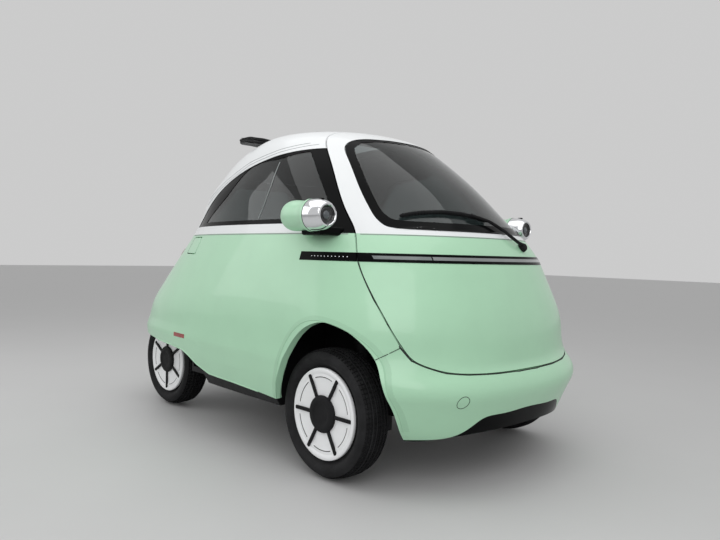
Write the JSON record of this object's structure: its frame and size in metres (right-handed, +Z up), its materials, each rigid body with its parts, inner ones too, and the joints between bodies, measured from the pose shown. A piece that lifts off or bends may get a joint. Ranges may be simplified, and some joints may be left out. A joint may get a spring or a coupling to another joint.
{
  "type": "microcar",
  "caption": "Small two-seat car with a front door that swings to the side, a tailgate, a folding fabric roof and steered front wheels.",
  "frame": {"origin": "on the ground under the middle of the bounding box", "axes": "+X forward, +Y to the car's left, +Z up"},
  "size_m": [2.5193, 1.5316, 1.5239],
  "materials": {
    "green_paint": "glossy pale green paint",
    "white_paint": "glossy white paint",
    "black_gloss": "glossy black",
    "black_matte": "matte black",
    "window_glass": "clear glass",
    "bright_trim": "bright chrome",
    "lamp_lens": "smoked lens",
    "mirror_face": "mirror",
    "red_lens": "red lens",
    "black_fabric": "black woven fabric",
    "seat_fabric": "dark grey fabric",
    "chassis_steel": "satin black paint",
    "battery_case": "dark grey",
    "motor_case": "cast",
    "tyre_rubber": "black rubber",
    "wheel_disc": "glossy white paint",
    "bare_steel": "brushed"
  },
  "bodies": {
    "car_body": {"battery_block": "battery_case", "bench_cushion": "seat_fabric", "cabin_frame": "white_paint", "door_hinge_post": "bare_steel", "floor_pan": "chassis_steel", "folded_roof": "black_fabric", "front_beam": "chassis_steel", "front_bumper": "green_paint", "front_lip": "black_gloss", "front_suspension": "chassis_steel", "front_wheelhouses": "black_matte", "lamp_bezels": "bright_trim", "lamp_feet": "black_matte", "lamp_housings": "green_paint", "lamp_lenses": "lamp_lens", "lamp_mirrors": "mirror_face", "motor_block": "motor_case", "pedals": "bare_steel", "rear_axle": "chassis_steel", "rear_floor": "chassis_steel", "rear_panel": "green_paint", "red_lenses": "red_lens", "seat_back": "seat_fabric", "seat_base": "black_matte", "side_panel_left": "green_paint", "side_panel_right": "green_paint", "side_strips": "black_gloss", "side_windows": "window_glass", "steering_column": "black_matte", "sunroof_frame": "black_matte", "tailgate_hinge_posts": "black_matte", "window_frames": "black_gloss"},
    "door": {"door_panel": "green_paint", "door_surround": "white_paint", "windshield": "window_glass", "door_strip": "black_gloss", "wiper": "black_matte", "door_hinge_arms": "bare_steel", "door_bar": "black_matte"},
    "tailgate": {"tailgate_panel": "green_paint", "tailgate_surround": "white_paint", "rear_window": "window_glass", "tailgate_strip": "black_gloss", "tailgate_hinge_leaves": "black_matte"},
    "charge_flap": {"charge_flap": "green_paint"},
    "steering_wheel": {"steering_wheel": "black_matte"},
    "knuckle_left": {"knuckle_left": "bare_steel"},
    "knuckle_right": {"knuckle_right": "bare_steel"},
    "wheel_front_left": {"tyre_front_left": "tyre_rubber", "wheel_front_left": "wheel_disc"},
    "wheel_front_right": {"tyre_front_right": "tyre_rubber", "wheel_front_right": "wheel_disc"},
    "wheel_rear_left": {"tyre_rear_left": "tyre_rubber", "wheel_rear_left": "wheel_disc"},
    "wheel_rear_right": {"tyre_rear_right": "tyre_rubber", "wheel_rear_right": "wheel_disc"}
  },
  "joints": [
    {"name": "door_hinge", "type": "hinge", "parent": "car_body", "child": "door", "pos_m": [0.79, 0.64, 0.704], "axis": [0, 0, 1], "range_deg": [0, 75]},
    {"name": "tailgate_hinge", "type": "hinge", "parent": "car_body", "child": "tailgate", "pos_m": [-0.65932, 0, 1.3403], "axis": [0, 1, 0], "range_deg": [0, 75]},
    {"name": "charge_flap_hinge", "type": "hinge", "parent": "car_body", "child": "charge_flap", "pos_m": [-0.40758, -0.59201, 0.92811], "axis": [0.1098, 0.3973, 0.9111], "range_deg": [0, 85]},
    {"name": "steering_wheel_turn", "type": "hinge", "parent": "car_body", "child": "steering_wheel", "pos_m": [0.47, 0.27, 0.88], "axis": [-0.625, 0, 0.7806], "range_deg": [-425, 425]},
    {"name": "steer_right", "type": "hinge", "parent": "car_body", "child": "knuckle_right", "pos_m": [0.7135, -0.577, 0.2665], "axis": [0, 0, 1], "range_deg": [-28, 28]},
    {"name": "steer_left", "type": "hinge", "parent": "car_body", "child": "knuckle_left", "pos_m": [0.7135, 0.577, 0.2665], "axis": [0, 0, 1], "range_deg": [-28, 28]},
    {"name": "spin_front_left", "type": "hinge", "parent": "knuckle_left", "child": "wheel_front_left", "pos_m": [0.7135, 0.607, 0.2665], "axis": [0, 1, 0], "continuous": true},
    {"name": "spin_front_right", "type": "hinge", "parent": "knuckle_right", "child": "wheel_front_right", "pos_m": [0.7135, -0.607, 0.2665], "axis": [0, 1, 0], "continuous": true},
    {"name": "spin_rear_left", "type": "hinge", "parent": "car_body", "child": "wheel_rear_left", "pos_m": [-0.8525, 0.465, 0.2665], "axis": [0, 1, 0], "continuous": true},
    {"name": "spin_rear_right", "type": "hinge", "parent": "car_body", "child": "wheel_rear_right", "pos_m": [-0.8525, -0.465, 0.2665], "axis": [0, 1, 0], "continuous": true}
  ],
  "couplings": [
    {"joint": "steer_left", "follows": "steer_right", "ratio": 1},
    {"joint": "steering_wheel_turn", "follows": "steer_right", "ratio": 15}
  ]
}
